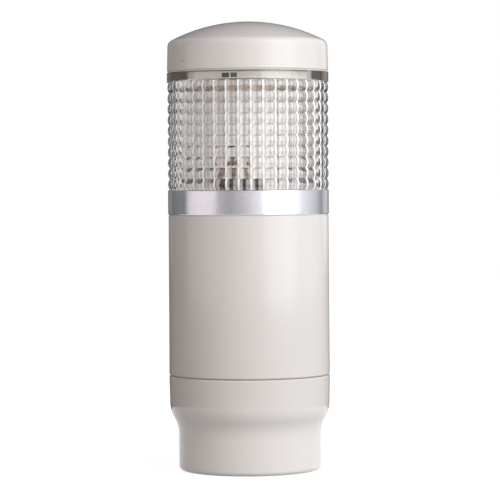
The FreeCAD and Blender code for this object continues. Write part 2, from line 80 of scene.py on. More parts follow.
def aimedAt(place, aim):
    turn = (aim - place).to_track_quat("-Z", "Y").to_matrix().to_4x4()
    return Matrix.Translation(place) @ turn


# Camera

cameraView = {
    "distance": 0.970,      # from the tower's axis
    "height": 0.1100,
    "lens": 187.0,
    "sensor": 36.0,
    "aimHeight": 0.0820,
    "aimSide": 0.00045,
    "roll": -0.4,           # degrees
}


def makeCamera():
    data = bpy.data.cameras.new("camera")
    data.lens = cameraView["lens"]
    data.sensor_width = cameraView["sensor"]
    camera = addObject("camera", data)
    place = Vector((0, -cameraView["distance"], cameraView["height"]))
    aim = Vector((cameraView["aimSide"], 0, cameraView["aimHeight"]))
    roll = Matrix.Rotation(math.radians(cameraView["roll"]), 4, "Z")
    camera.matrix_world = aimedAt(place, aim) @ roll
    bpy.context.scene.camera = camera


# Studio: soft boxes round the tower, a drum of grey cards for the reflections, and a pale floor
# Azimuths are seen from the tower: 0 is the camera's side and 90 its right

studio = {
    "boxes": {
        "leftBox": {"azimuth": -71.5, "distance": 1.2, "width": 1.20, "height": 0.30, "power": 1.12,
                    "colour": (1.0, 0.90, 0.88),
                    "fade": ((-98, 0.78), (-88, 0.92), (-72, 1.0), (-58, 0.98), (-45, 0.84))},
        "leftUpper": {"azimuth": -50, "distance": 1.2, "width": 1.10, "height": 0.60, "power": 1.6,
                      "colour": (1.0, 0.91, 0.89), "foot": 0.45},
        "backLeft": {"azimuth": -150, "distance": 1.3, "width": 0.9, "height": 1.2, "power": 3.0,
                     "colour": (1.0, 0.95, 0.93), "mirrored": False},
        "backRight": {"azimuth": 140, "distance": 1.3, "width": 0.9, "height": 1.2, "power": 4.5,
                      "colour": (0.99, 0.99, 1.0), "mirrored": False},
        "rightBox": {"azimuth": 47.3, "distance": 1.2, "width": 1.29, "height": 1.55, "power": 19.6,
                     "colour": (0.97, 1.0, 1.0),
                     "fade": ((19, 0.52), (34, 1.0), (60, 1.0), (76, 0.48))},
        "frontPanel": {"azimuth": -13, "distance": 1.3, "width": 1.55, "height": 1.7, "power": 9.7,
                       "colour": (1.0, 0.94, 0.92),
                       "fade": ((-44, 0.52), (-27, 0.43), (-4, 0.65), (18, 1.0))},
        "rightPanel": {"azimuth": 101, "distance": 1.3, "width": 1.20, "height": 1.5, "power": 6.6,
                       "colour": (0.99, 1.0, 1.0),
                       "fade": ((76, 1.0), (98, 0.69), (116, 0.46), (126, 0.22))},
    },
    "topPanel": {"width": 1.1, "height": 1.1, "power": 0.1, "colour": (1.0, 0.92, 0.89)},
    "topPlace": (0, -0.2, 1.3),
    "roomSide": (0.06, 0.055, 0.05),
    "roomTop": (0.03, 0.028, 0.026),
    "roomFade": (0.15, 0.85),       # rise of the view from side grey to top grey
    "cardRadius": 1.6,
    "cardHeight": 1.8,
    "cardFoot": 0.5 * mm,
    "cardSides": 96,
    "apronRadius": 0.16,            # grey card on the floor starts here
    "apronGrey": (0.12, 0.11, 0.10),
    "cardGreys": ((-180, 0.10), (-166, 0.12), (-150, 0.34), (-136, 0.20), (-117, 0.30), (-103, 0.28),
                  (-98, 0.16), (-70, 0.30), (-48, 0.38), (-40, 0.12), (-27, 0.03), (-4, 0.14),
                  (12, 0.28), (22, 0.30), (72, 0.28), (98, 0.20), (124, 0.14), (138, 0.85),
                  (150, 0.75), (163, 0.20), (180, 0.10)),
    "cardThrough": (0.07, 0.06, 0.055),     # seen through the lens level with the tower
    "cardLift": (1.0, 0.985, 0.975),        # and above and below it
    "cardBand": (0.01, 0.05, 0.30, 0.55),   # heights where the one turns into the other
    "floorSize": 14,
    "floorColour": (0.30, 0.297, 0.294),
    "floorGlow": (0.90, 1.0),               # plain white near the tower and far from it
    "floorFade": (0.1, 1.2),
}


def spread(nodes, links, value, low, high, fromLow=0.3, fromHigh=0.7):
    remap = nodes.new("ShaderNodeMapRange")
    remap.inputs["From Min"].default_value = fromLow
    remap.inputs["From Max"].default_value = fromHigh
    remap.inputs["To Min"].default_value = low
    remap.inputs["To Max"].default_value = high
    links.new(value, remap.inputs["Value"])
    return remap.outputs["Result"]


def blendColours(nodes, links, factor, first, second):
    mix = nodes.new("ShaderNodeMix")
    mix.data_type = "RGBA"
    links.new(factor, mix.inputs["Factor"])
    for socket, colour in (("A", first), ("B", second)):
        if isinstance(colour, tuple):
            mix.inputs[socket].default_value = (*colour, 1)
        else:
            links.new(colour, mix.inputs[socket])
    return mix.outputs["Result"]


def combine(nodes, links, operation, first, second):
    step = nodes.new("ShaderNodeMath")
    step.operation = operation
    links.new(first, step.inputs[0])
    links.new(second, step.inputs[1])
    return step.outputs[0]


def heightIn(nodes, links, position):
    split = nodes.new("ShaderNodeSeparateXYZ")
    links.new(position, split.inputs[0])
    return split.outputs["Z"]


# Grey that changes with the direction seen from the tower
def azimuthGreys(nodes, links, position, stops):
    turn = nodes.new("ShaderNodeMapping")
    turn.inputs["Rotation"].default_value = (0, 0, quarterTurn)
    sweep = nodes.new("ShaderNodeTexGradient")
    sweep.gradient_type = "RADIAL"
    ramp = nodes.new("ShaderNodeValToRGB")
    while len(ramp.color_ramp.elements) < len(stops):
        ramp.color_ramp.elements.new(0.5)
    for element, (azimuth, grey) in zip(ramp.color_ramp.elements, stops):
        element.position = (azimuth + 180) / 360
        element.color = (grey, grey, grey, 1)
    links.new(position, turn.inputs["Vector"])
    links.new(turn.outputs[0], sweep.inputs[0])
    links.new(sweep.outputs[0], ramp.inputs[0])
    return ramp.outputs[0]


def makeLamp(name, place, aim, width, height, power, colour, fade=None, mirrored=True):
    data = bpy.data.lights.new(name, "AREA")
    data.shape = "RECTANGLE"
    data.size = width
    data.size_y = height
    data.energy = power
    data.color = colour
    if fade:
        data.use_nodes = True
        nodes, links = data.node_tree.nodes, data.node_tree.links
        where = nodes.new("ShaderNodeNewGeometry")
        greys = azimuthGreys(nodes, links, where.outputs["Position"], fade)
        links.new(greys, nodes["Emission"].inputs["Color"])
    lamp = addObject(name, data)
    lamp.matrix_world = aimedAt(place, aim)
    lamp.visible_camera = False
    lamp.visible_glossy = mirrored
    lamp.visible_transmission = mirrored


# Upright soft box that faces the tower
def makeBox(name, azimuth, distance, height, foot=5 * mm, **settings):
    angle = math.radians(azimuth)
    middle = Vector((0, 0, height / 2 + foot))
    place = middle + distance * Vector((math.sin(angle), -math.cos(angle), 0))
    makeLamp(name, place, middle, height=height, **settings)


# 1 for the rays that see the backdrop as plain white
def backdropRays(nodes, links):
    path = nodes.new("ShaderNodeLightPath")
    seen = combine(nodes, links, "MAXIMUM", path.outputs["Is Camera Ray"], path.outputs["Is Glossy Ray"])
    return combine(nodes, links, "MAXIMUM", seen, path.outputs["Is Transmission Ray"])


def makeWorld():
    world = bpy.data.worlds.new("studio")
    world.use_nodes = True
    bpy.context.scene.world = world
    nodes, links = world.node_tree.nodes, world.node_tree.links
    nodes.clear()
    out = nodes.new("ShaderNodeOutputWorld")
    mix = nodes.new("ShaderNodeMixShader")
    room = nodes.new("ShaderNodeBackground")
    white = nodes.new("ShaderNodeBackground")
    white.inputs["Color"].default_value = (1, 1, 1, 1)
    where = nodes.new("ShaderNodeTexCoord")
    height = heightIn(nodes, links, where.outputs["Generated"])
    fade = nodes.new("ShaderNodeMapRange")
    fade.interpolation_type = "SMOOTHSTEP"
    fade.inputs["From Min"].default_value = studio["roomFade"][0]
    fade.inputs["From Max"].default_value = studio["roomFade"][1]
    links.new(height, fade.inputs["Value"])
    grey = blendColours(nodes, links, fade.outputs["Result"], studio["roomSide"], studio["roomTop"])
    links.new(grey, room.inputs["Color"])
    links.new(backdropRays(nodes, links), mix.inputs[0])
    links.new(room.outputs[0], mix.inputs[1])
    links.new(white.outputs[0], mix.inputs[2])
    links.new(mix.outputs[0], out.inputs["Surface"])
    bpy.context.scene.view_settings.view_transform = "Standard"


def bareMaterial(name):
    material = bpy.data.materials.new(name)
    material.use_nodes = True
    nodes, links = material.node_tree.nodes, material.node_tree.links
    nodes.clear()
    return material, nodes, links, nodes.new("ShaderNodeOutputMaterial")


def newVerts(result):
    return [v for v in result["geom"] if isinstance(v, bmesh.types.BMVert)]


def makeDrum():
    bm = bmesh.new()
    bmesh.ops.create_circle(bm, segments=studio["cardSides"], radius=studio["cardRadius"])
    wall = bm.edges[:]
    inner = newVerts(bmesh.ops.extrude_edge_only(bm, edges=wall))
    shrink = studio["apronRadius"] / studio["cardRadius"]
    bmesh.ops.scale(bm, vec=(shrink, shrink, 1), verts=inner)
    top = newVerts(bmesh.ops.extrude_edge_only(bm, edges=wall))
    bmesh.ops.translate(bm, vec=zAxis * studio["cardHeight"], verts=top)
    rim = [edge for edge in bm.edges if all(v in top for v in edge.verts)]
    bmesh.ops.holes_fill(bm, edges=rim, sides=0)
    bmesh.ops.translate(bm, vec=zAxis * studio["cardFoot"], verts=bm.verts)
    return meshFrom("cards", bm)


def cardGrey():
    material, nodes, links, out = bareMaterial("card grey")
    where = nodes.new("ShaderNodeTexCoord")
    glow = nodes.new("ShaderNodeEmission")
    path = nodes.new("ShaderNodeLightPath")
    greys = azimuthGreys(nodes, links, where.outputs["Object"], studio["cardGreys"])
    height = heightIn(nodes, links, where.outputs["Object"])
    floorEnd, bandFoot, bandTop, liftEnd = studio["cardBand"]
    above = spread(nodes, links, height, 0, 1, bandTop, liftEnd)
    below = spread(nodes, links, height, 1, 0, floorEnd, bandFoot)
    outside = combine(nodes, links, "ADD", above, below)
    mirrored = blendColours(nodes, links, below, greys, studio["apronGrey"])
    through = blendColours(nodes, links, outside, studio["cardThrough"], studio["cardLift"])
    seen = blendColours(nodes, links, path.outputs["Is Transmission Ray"], mirrored, through)
    links.new(seen, glow.inputs["Color"])
    links.new(glow.outputs[0], out.inputs["Surface"])
    return material


def makeCards():
    cards = addObject("cards", makeDrum(), cardGrey())
    cards.visible_camera = False
    cards.visible_diffuse = False
    cards.visible_shadow = False
    cards.visible_volume_scatter = False


def floorPaper():
    material, nodes, links, out = bareMaterial("floor paper")
    paper = nodes.new("ShaderNodeBsdfDiffuse")
    paper.inputs["Color"].default_value = (*studio["floorColour"], 1)
    white = nodes.new("ShaderNodeEmission")
    where = nodes.new("ShaderNodeTexCoord")
    away = nodes.new("ShaderNodeVectorMath")
    away.operation = "LENGTH"
    links.new(where.outputs["Object"], away.inputs[0])
    glow = spread(nodes, links, away.outputs["Value"], *studio["floorGlow"], *studio["floorFade"])
    both = nodes.new("ShaderNodeAddShader")
    share = combine(nodes, links, "MULTIPLY", glow, backdropRays(nodes, links))
    links.new(share, white.inputs["Strength"])
    links.new(paper.outputs[0], both.inputs[0])
    links.new(white.outputs[0], both.inputs[1])
    links.new(both.outputs[0], out.inputs["Surface"])
    return material


def makeFloor():
    bm = bmesh.new()
    bmesh.ops.create_grid(bm, x_segments=1, y_segments=1, size=studio["floorSize"])
    addObject("floor", meshFrom("floor", bm), floorPaper())


makeCamera()
makeWorld()
for boxName, box in studio["boxes"].items():
    makeBox(boxName, **box)
makeLamp("topPanel", Vector(studio["topPlace"]), Vector((0, 0, 0)), **studio["topPanel"])
makeCards()
makeFloor()
print("studio ready")


# Materials

def toned(colour, factor):
    return tuple(min(1, c * factor) for c in colour)


# New material with its shader set, and object coordinates to build on
def shaded(name, colour, roughness, metallic=0.0):
    material = bpy.data.materials.new(name)
    material.use_nodes = True
    tree = material.node_tree
    shader = tree.nodes["Principled BSDF"]
    shader.inputs["Base Color"].default_value = (*colour, 1)
    shader.inputs["Roughness"].default_value = roughness
    shader.inputs["Metallic"].default_value = metallic
    where = tree.nodes.new("ShaderNodeTexCoord")
    return material, tree.nodes, tree.links, shader, where.outputs["Object"]


def noise(nodes, links, where, scale, detail=2.0):
    texture = nodes.new("ShaderNodeTexNoise")
    texture.inputs["Scale"].default_value = scale
    texture.inputs["Detail"].default_value = detail
    links.new(where, texture.inputs["Vector"])
    return texture.outputs["Fac"]


def addBump(nodes, links, shader, height, strength, depth):
    bump = nodes.new("ShaderNodeBump")
    bump.inputs["Strength"].default_value = strength
    bump.inputs["Distance"].default_value = depth
    links.new(height, bump.inputs["Height"])
    links.new(bump.outputs[0], shader.inputs["Normal"])


# Moulded plastic: change is how far the colour wanders, and grain and depth are its fine bumps
def mouldedPlastic(name, colour, roughness=0.35, change=0.03, grain=900, depth=0.02 * mm, gloss=0.5):
    material, nodes, links, shader, where = shaded(name, colour, roughness)
    shader.inputs["Specular IOR Level"].default_value = gloss
    clouds = noise(nodes, links, where, scale=45, detail=3)
    fine = noise(nodes, links, where, grain)
    tone = blendColours(nodes, links, clouds, toned(colour, 1 - change), toned(colour, 1 + change))
    links.new(tone, shader.inputs["Base Color"])
    rough = spread(nodes, links, fine, roughness - 0.05, roughness + 0.05)
    links.new(rough, shader.inputs["Roughness"])
    addBump(nodes, links, shader, fine, strength=0.25, depth=depth)
    return material


housing = {
    "colour": (0.91, 0.86, 0.84),
    "change": 0.015,
    "roughness": 0.08,
    "roughnessChange": 0.04,
    "ior": 1.49,
    "grain": 1400,
    "speck": (-23.85 * mm, -18.1 * mm, 152.0 * mm),     # small dark inclusion in the cap
    "speckSize": 0.3 * mm,
    "speckColour": (0.16, 0.12, 0.10),
    "speckShare": 0.75,     # how far the speck hides the colour
}


def housingPlastic():
    colour, roughness, change = housing["colour"], housing["roughness"], housing["change"]
    material, nodes, links, shader, where = shaded("housing plastic", colour, roughness)
    shader.inputs["IOR"].default_value = housing["ior"]
    clouds = noise(nodes, links, where, scale=30, detail=3)
    fine = noise(nodes, links, where, housing["grain"])
    base = blendColours(nodes, links, clouds, toned(colour, 1 - change), toned(colour, 1 + change))
    away = nodes.new("ShaderNodeVectorMath")
    away.operation = "DISTANCE"
    away.inputs[1].default_value = housing["speck"]
    links.new(where, away.inputs[0])
    inSpeck = spread(nodes, links, away.outputs["Value"], housing["speckShare"], 0,
                     housing["speckSize"] * 0.6, housing["speckSize"] * 1.5)
    base = blendColours(nodes, links, inSpeck, base, housing["speckColour"])
    links.new(base, shader.inputs["Base Color"])
    spare = housing["roughnessChange"]
    links.new(spread(nodes, links, fine, roughness - spare, roughness + spare), shader.inputs["Roughness"])
    addBump(nodes, links, shader, fine, strength=0.15, depth=0.01 * mm)
    return material


silver = {
    "colour": (0.70, 0.71, 0.765),
    "change": 0.08,
    "roughness": 0.20,
    "roughnessChange": 0.05,
    "flake": 5200,          # flakes in a metre
}


# Metallic paint: each flake has its own tilt and brightness
def silverPaint():
    colour, roughness, change = silver["colour"], silver["roughness"], silver["change"]
    material, nodes, links, shader, where = shaded("silver paint", colour, roughness, metallic=1.0)
    flakes = nodes.new("ShaderNodeTexVoronoi")
    flakes.inputs["Scale"].default_value = silver["flake"]
    links.new(where, flakes.inputs["Vector"])
    split = nodes.new("ShaderNodeSeparateColor")
    links.new(flakes.outputs["Color"], split.inputs[0])
    bright, rough, tilt = split.outputs
    tone = blendColours(nodes, links, bright, toned(colour, 1 - change), toned(colour, 1 + change))
    links.new(tone, shader.inputs["Base Color"])
    spare = silver["roughnessChange"]
    rough = spread(nodes, links, rough, roughness - spare, roughness + spare, 0, 1)
    links.new(rough, shader.inputs["Roughness"])
    addBump(nodes, links, shader, tilt, strength=0.05, depth=0.02 * mm)
    return material


clearPlastic = {
    "mottle": 0.95,         # clouding of the moulded faces
    "tint": (0.97, 0.965, 0.955),
    # painted shade in the row valleys: a dark tint of the clear plastic
    "valleyShadeTint": (0.55, 0.48, 0.44),
    # painted shade on the rib flanks and middles: a grey tint of the clear plastic
    "flankShadeTint": (0.64, 0.61, 0.63),
    "shadowTint": (0.99, 0.985, 0.98),      # light that passes to what is behind it
    "rootHighlightColour": (0.97, 0.97, 0.975),
    "rootHighlightDim": (0.88, 0.88, 0.88),
    "rootPaintedGlow": 0.22,       # painted glow that adds to the root's painted highlight
    "ior": 1.58,
    "roughness": 0.02,
}


def lensPlastic(name="clear lens", tint=clearPlastic["tint"]):
    material, nodes, links, shader, where = shaded(name, tint, clearPlastic["roughness"])
    shader.inputs["Transmission Weight"].default_value = 1.0
    shader.inputs["IOR"].default_value = clearPlastic["ior"]
    waves = noise(nodes, links, where, scale=350, detail=1)
    mottle = noise(nodes, links, where, scale=1500)
    light = spread(nodes, links, mottle, 0, 1, 0.42, 0.56)
    tone = blendColours(nodes, links, light, toned(tint, clearPlastic["mottle"]), tint)
    links.new(tone, shader.inputs["Base Color"])
    addBump(nodes, links, shader, waves, strength=0.15, depth=0.04 * mm)
    path = nodes.new("ShaderNodeLightPath")
    through = nodes.new("ShaderNodeBsdfTransparent")
    through.inputs["Color"].default_value = (*clearPlastic["shadowTint"], 1)
    mix = nodes.new("ShaderNodeMixShader")
    links.new(path.outputs["Is Shadow Ray"], mix.inputs[0])
    links.new(shader.outputs[0], mix.inputs[1])
    links.new(through.outputs[0], mix.inputs[2])
    links.new(mix.outputs[0], nodes["Material Output"].inputs["Surface"])
    return material


# Painted highlight on the root between two ribs: pale plastic with a painted glow
def paintedRootHighlight():
    colour = clearPlastic["rootHighlightColour"]
    material, nodes, links, shader, where = shaded("lens root painted highlight", colour, 0.25)
    streaks = noise(nodes, links, where, scale=700)
    tone = blendColours(nodes, links, streaks, clearPlastic["rootHighlightDim"], colour)
    links.new(tone, shader.inputs["Base Color"])
    links.new(tone, shader.inputs["Emission Color"])
    shader.inputs["Emission Strength"].default_value = clearPlastic["rootPaintedGlow"]
    links.new(spread(nodes, links, streaks, 0.2, 0.4), shader.inputs["Roughness"])
    addBump(nodes, links, shader, streaks, strength=0.3, depth=0.03 * mm)
    return material


frosted = {"colour": (0.77, 0.755, 0.74), "dark": (0.70, 0.68, 0.66), "light": (0.84, 0.83, 0.82)}


def diffuserPlastic():
    material, nodes, links, shader, where = shaded("frosted tube", frosted["colour"], 0.30)
    fine = noise(nodes, links, where, scale=1200)
    links.new(spread(nodes, links, fine, 0.3, 0.5), shader.inputs["Roughness"])
    clouds = noise(nodes, links, where, scale=60)
    tone = blendColours(nodes, links, clouds, frosted["dark"], frosted["light"])
    links.new(tone, shader.inputs["Base Color"])
    addBump(nodes, links, shader, fine, strength=0.3, depth=0.03 * mm)
    return material


boards = {
    "white": {"colour": (0.72, 0.72, 0.69), "copper": (0.80, 0.79, 0.74), "pitch": 5 * mm},
    "green": {"colour": (0.015, 0.12, 0.05), "copper": (0.03, 0.20, 0.08), "pitch": 4 * mm},
    "plating": (0.75, 0.72, 0.62),
    "amber": ((0.48, 0.32, 0.20), (0.74, 0.66, 0.58)),      # bare laminate at the rim
}


# Solder mask over copper tracks, with plated holes
def boardLaminate(name, colour, copper, pitch):
    material, nodes, links, shader, where = shaded(name, colour, 0.3)
    tracks = nodes.new("ShaderNodeTexBrick")
    tracks.inputs["Scale"].default_value = 1 / pitch
    tracks.inputs["Mortar Size"].default_value = 0.08
    tracks.inputs["Color1"].default_value = (0, 0, 0, 1)
    tracks.inputs["Color2"].default_value = (0.15, 0.15, 0.15, 1)
    tracks.inputs["Mortar"].default_value = (1, 1, 1, 1)
    turn = nodes.new("ShaderNodeMapping")
    turn.inputs["Rotation"].default_value = (quarterTurn, 0, 0)
    links.new(where, turn.inputs["Vector"])
    links.new(turn.outputs[0], tracks.inputs["Vector"])
    holes = nodes.new("ShaderNodeTexVoronoi")
    holes.feature = "F1"
    holes.inputs["Scale"].default_value = 1 / (pitch * 1.6)
    links.new(where, holes.inputs["Vector"])
    ring = spread(nodes, links, holes.outputs["Distance"], 1, 0, 0.10, 0.16)
    tone = blendColours(nodes, links, tracks.outputs["Color"], colour, copper)
    tone = blendColours(nodes, links, ring, tone, boards["plating"])
    links.new(tone, shader.inputs["Base Color"])
    grain = noise(nodes, links, where, scale=600)
    links.new(spread(nodes, links, grain, 0.25, 0.4), shader.inputs["Roughness"])
    addBump(nodes, links, shader, tracks.outputs["Fac"], strength=0.4, depth=0.04 * mm)
    return material


# Round board whose rim and underside show the amber laminate
def edgedBoard(name, rimRadius, foot):
    material = boardLaminate(name, **boards["white"])
    nodes, links = material.node_tree.nodes, material.node_tree.links
    shader = nodes["Principled BSDF"]
    where = nodes.new("ShaderNodeTexCoord").outputs["Object"]
    flat = nodes.new("ShaderNodeVectorMath")
    flat.operation = "MULTIPLY"
    flat.inputs[1].default_value = (1, 1, 0)
    reach = nodes.new("ShaderNodeVectorMath")
    reach.operation = "LENGTH"
    links.new(where, flat.inputs[0])
    links.new(flat.outputs["Vector"], reach.inputs[0])
    rim = spread(nodes, links, reach.outputs["Value"], 0, 1, rimRadius - 0.3 * mm, rimRadius - 0.2 * mm)
    height = heightIn(nodes, links, where)
    under = spread(nodes, links, height, 1, 0, foot + 0.02 * mm, foot + 0.06 * mm)
    bare = combine(nodes, links, "MAXIMUM", rim, under)
    amber = blendColours(nodes, links, noise(nodes, links, where, scale=800), *boards["amber"])
    masked = shader.inputs["Base Color"].links[0].from_socket
    links.new(blendColours(nodes, links, bare, masked, amber), shader.inputs["Base Color"])
    return material


# Turned or stamped metal with fine marks round it
def turnedMetal(name, colour, roughness, grain=2500):
    material, nodes, links, shader, where = shaded(name, colour, roughness, metallic=1.0)
    stretch = nodes.new("ShaderNodeMapping")
    stretch.inputs["Scale"].default_value = (0.2, 0.2, 1)
    links.new(where, stretch.inputs["Vector"])
    marks = noise(nodes, links, stretch.outputs[0], grain)
    rough = spread(nodes, links, marks, roughness - 0.08, roughness + 0.08)
    links.new(rough, shader.inputs["Roughness"])
    tone = blendColours(nodes, links, marks, toned(colour, 0.88), colour)
    links.new(tone, shader.inputs["Base Color"])
    addBump(nodes, links, shader, marks, strength=0.2, depth=0.01 * mm)
    return material


# Pale moulded package with a faint yellow cast
def ledPlastic():
    material, nodes, links, shader, where = shaded("led package", (0.88, 0.87, 0.83), 0.35)
    cells = noise(nodes, links, where, scale=900)
    tone = blendColours(nodes, links, cells, (0.86, 0.80, 0.55), (0.92, 0.88, 0.70))
    links.new(tone, shader.inputs["Base Color"])
    links.new(spread(nodes, links, cells, 0.25, 0.4), shader.inputs["Roughness"])
    return material


finishes = {
    "housing": housingPlastic(),
    "silver": silverPaint(),
    "clear_lens": lensPlastic(),
    "lens_root": paintedRootHighlight(),
    "lens_valley": lensPlastic("lens valley painted shade", clearPlastic["valleyShadeTint"]),
    "lens_flank": lensPlastic("lens flank painted shade", clearPlastic["flankShadeTint"]),
    "diffuser": diffuserPlastic(),
    "carrier": mouldedPlastic("white carrier", (0.82, 0.81, 0.79), 0.45),
    "dark_plastic": mouldedPlastic("black moulding", (0.022, 0.020, 0.020), 0.42, change=0.2),
    "board": boardLaminate("white board", **boards["white"]),
    "green_board": boardLaminate("green board", **boards["green"]),
    "led_package": ledPlastic(),
    "brass": turnedMetal("brass", (0.72, 0.52, 0.24), 0.28),
    "steel": turnedMetal("zinc steel", (0.62, 0.61, 0.58), 0.32),
    "choke": turnedMetal("copper winding", (0.70, 0.34, 0.16), 0.35, grain=1200),
    "rubber": mouldedPlastic("black rubber", (0.025, 0.025, 0.026), 0.65, change=0.15, grain=500,
                             depth=0.04 * mm, gloss=0.3),
    "gasket": mouldedPlastic("silicone gasket", (0.78, 0.72, 0.56), 0.55, change=0.1, grain=700,
                             depth=0.03 * mm, gloss=0.3),
    "capacitor": mouldedPlastic("capacitor sleeve", (0.03, 0.035, 0.08), 0.3, change=0.15),
    "fuse": mouldedPlastic("fuse body", (0.05, 0.04, 0.035), 0.35, change=0.15),
    "terminal": mouldedPlastic("terminal plastic", (0.05, 0.22, 0.12), 0.4, change=0.08),
    "red_wire": mouldedPlastic("red insulation", (0.17, 0.105, 0.08), 0.4, change=0.1),
    "orange_wire": mouldedPlastic("orange insulation", (0.13, 0.09, 0.065), 0.4, change=0.1),
    "yellow_wire": mouldedPlastic("yellow insulation", (0.24, 0.17, 0.09), 0.4, change=0.1),
    "grey_moulding": mouldedPlastic("grey moulding", (0.42, 0.40, 0.385), 0.45, change=0.08),
    "nylon": mouldedPlastic("natural nylon", (0.42, 0.38, 0.335), 0.4, change=0.05),
    "phosphor": mouldedPlastic("phosphor", (0.85, 0.66, 0.16), 0.3, change=0.08, grain=1500),
    "film": mouldedPlastic("white film", (0.79, 0.765, 0.74), 0.55, change=0.06, grain=500),
    "seam_lip": mouldedPlastic("seam lip", (0.42, 0.35, 0.31), 0.6, change=0.1, grain=700),
    "seal_lip": mouldedPlastic("seal lip", (0.84, 0.82, 0.79), 0.6, change=0.06, grain=700),
}
for node in cadNodes.values():
    for index, material in enumerate(node.data.materials):
        node.data.materials[index] = finishes[material.name.split(".")[0]]
cadNodes["led_unit_base"].data.materials[0] = finishes["grey_moulding"]
amberBoard = edgedBoard("amber board", radiusOf("top_board"), footOf("top_board"))
cadNodes["top_board"].data.materials[0] = amberBoard
print("materials ready")


# Steps that the pieces share

# Closed outline of (radius, height) points, ready to spin
def closedProfile(bm, points):
    chain = [bm.verts.new((radius, 0, height)) for radius, height in points]
    for pair in zip(chain, chain[1:] + chain[:1]):
        bm.edges.new(pair)
    return chain


def roundCorners(bm, corners, offset, segments, affect="VERTICES"):
    bmesh.ops.bevel(bm, geom=corners, offset=offset, offset_type="OFFSET", affect=affect,
                    segments=segments, profile=0.5, material=-1)


def spinRound(bm, steps):
    bmesh.ops.spin(bm, geom=bm.verts[:] + bm.edges[:], cent=(0, 0, 0), axis=zAxis, dvec=(0, 0, 0),
                   angle=fullTurn, steps=steps, use_merge=True, use_duplicate=False)
    bmesh.ops.remove_doubles(bm, verts=bm.verts, dist=mergeDistance)
    bmesh.ops.recalc_face_normals(bm, faces=bm.faces)


def cutAcross(bm, axis, places):
    for place in places:
        bmesh.ops.bisect_plane(bm, geom=bm.verts[:] + bm.edges[:] + bm.faces[:], plane_co=axis * place,
                               plane_no=axis, dist=mergeDistance)


def finishPiece(name, bm, finishNames, body, smoothAngle=35):
    mesh = meshFrom(name, bm)
    mesh.polygons.foreach_set("use_smooth", [True] * len(mesh.polygons))
    mesh.set_sharp_from_angle(angle=math.radians(smoothAngle))
    for finishName in finishNames:
        mesh.materials.append(finishes[finishName])
    piece = addObject(name, mesh)
    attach(piece, body)
    return piece


# Ribbed lens: upright ribs that swell and narrow with each row, a collar, a neck and a skirt

lensShape = {
    "ribCount": 40,
    "ribTurn": 2.0,             # degrees from the front
    "ribDepth": 0.60 * mm,
    "rowCount": 10,
    "rowPitch": 4.0 * mm,
    "rowDepth": 0.65 * mm,
    "radius": 30.0 * mm,
    "collarRadius": 30.1 * mm,
    "collarHeight": 3.5 * mm,
    "neckRadius": 26.4 * mm,
    "neckBore": 24.8 * mm,
    "flangeBore": 22.6 * mm,    # thick ring behind the collar
    "flangeRise": 0.5 * mm,
    "fluteEnd": 0.3 * mm,       # flutes stop this far below the top of the ribs
    "skirtRadius": 28.3 * mm,
    "bore": 26.6 * mm,
    "skirtFoot": 1.2 * mm,      # skirt's foot above the LED unit's plate
    "fluteDepth": 0.50 * mm,    # inside face, one flute behind each rib
    "rootHighlightShare": 0.08,          # of a rib's width, painted highlight on each side of its root
    "flankShare": 0.21,         # painted shade on the flank beside the root
    "valleyFrom": 0.25,         # painted valley shade starts this far into a rib
    "middleFrom": 0.42,         # and painted shade on its middle from here
    "valleyShadeShare": 0.10,        # of a row's height, painted shade on each side of its valley
    "plainFoot": 1.0 * mm,      # no painted valley shade this near the silver ring
    "outerDepth": 1.4 * mm,     # faces this near the outside are ribs
    "stepsPerRib": 12,
    "stepsPerRow": 10,
    "smoothAngle": 28,
}
lensFinishes = ("clear_lens", "lens_root", "lens_valley", "lens_flank")


# Where a point lies across its rib and up its row, each from 0 to 1
def cellPlace(co, foot):
    angle = math.degrees(math.atan2(co.y, co.x)) + 90 - lensShape["ribTurn"]
    return (angle * lensShape["ribCount"] / 360) % 1, ((co.z - foot) / lensShape["rowPitch"]) % 1


def lensOutline(ribsFoot, ribsTop):
    shape = lensShape
    top = topOf("lens")
    collarTop = ribsTop + shape["collarHeight"]
    flangeFoot = ribsTop + shape["flangeRise"]
    skirtFoot = topOf("led_unit_base") + shape["skirtFoot"]
    rows = shape["rowCount"] * shape["stepsPerRow"]
    outside = [(shape["skirtRadius"], skirtFoot), (shape["skirtRadius"], ribsFoot)]
    outside += [(shape["radius"], ribsFoot + (ribsTop - ribsFoot) * i / rows) for i in range(rows + 1)]
    outside += [(shape["collarRadius"], ribsTop), (shape["collarRadius"], collarTop),
                (shape["neckRadius"], collarTop), (shape["neckRadius"], top)]
    inside = [(shape["neckBore"], top), (shape["neckBore"], collarTop),
              (shape["flangeBore"], collarTop), (shape["flangeBore"], flangeFoot)]
    inside += [(shape["bore"], height) for height in
               (flangeFoot, ribsTop, ribsTop - shape["fluteEnd"], ribsFoot, skirtFoot)]
    return outside + inside


# Ribs and rows outside, and one flute behind each rib inside
def swellLens(bm, ribsFoot, ribsTop):
    shape = lensShape
    for v in bm.verts:
        if not ribsFoot - slack < v.co.z < ribsTop + slack:
            continue
        radius = math.hypot(v.co.x, v.co.y)
        rib, row = cellPlace(v.co, ribsFoot)
        if abs(radius - shape["radius"]) < slack:
            inward = shape["ribDepth"] * (2 * rib - 1) ** 2 + shape["rowDepth"] * (2 * row - 1) ** 2
        elif abs(radius - shape["bore"]) < slack and v.co.z < ribsTop - shape["fluteEnd"] / 2:
            inward = shape["fluteDepth"] * (1 - (2 * rib - 1) ** 2)
        else:
            continue
        shrink = 1 - inward / radius
        v.co.x *= shrink
        v.co.y *= shrink
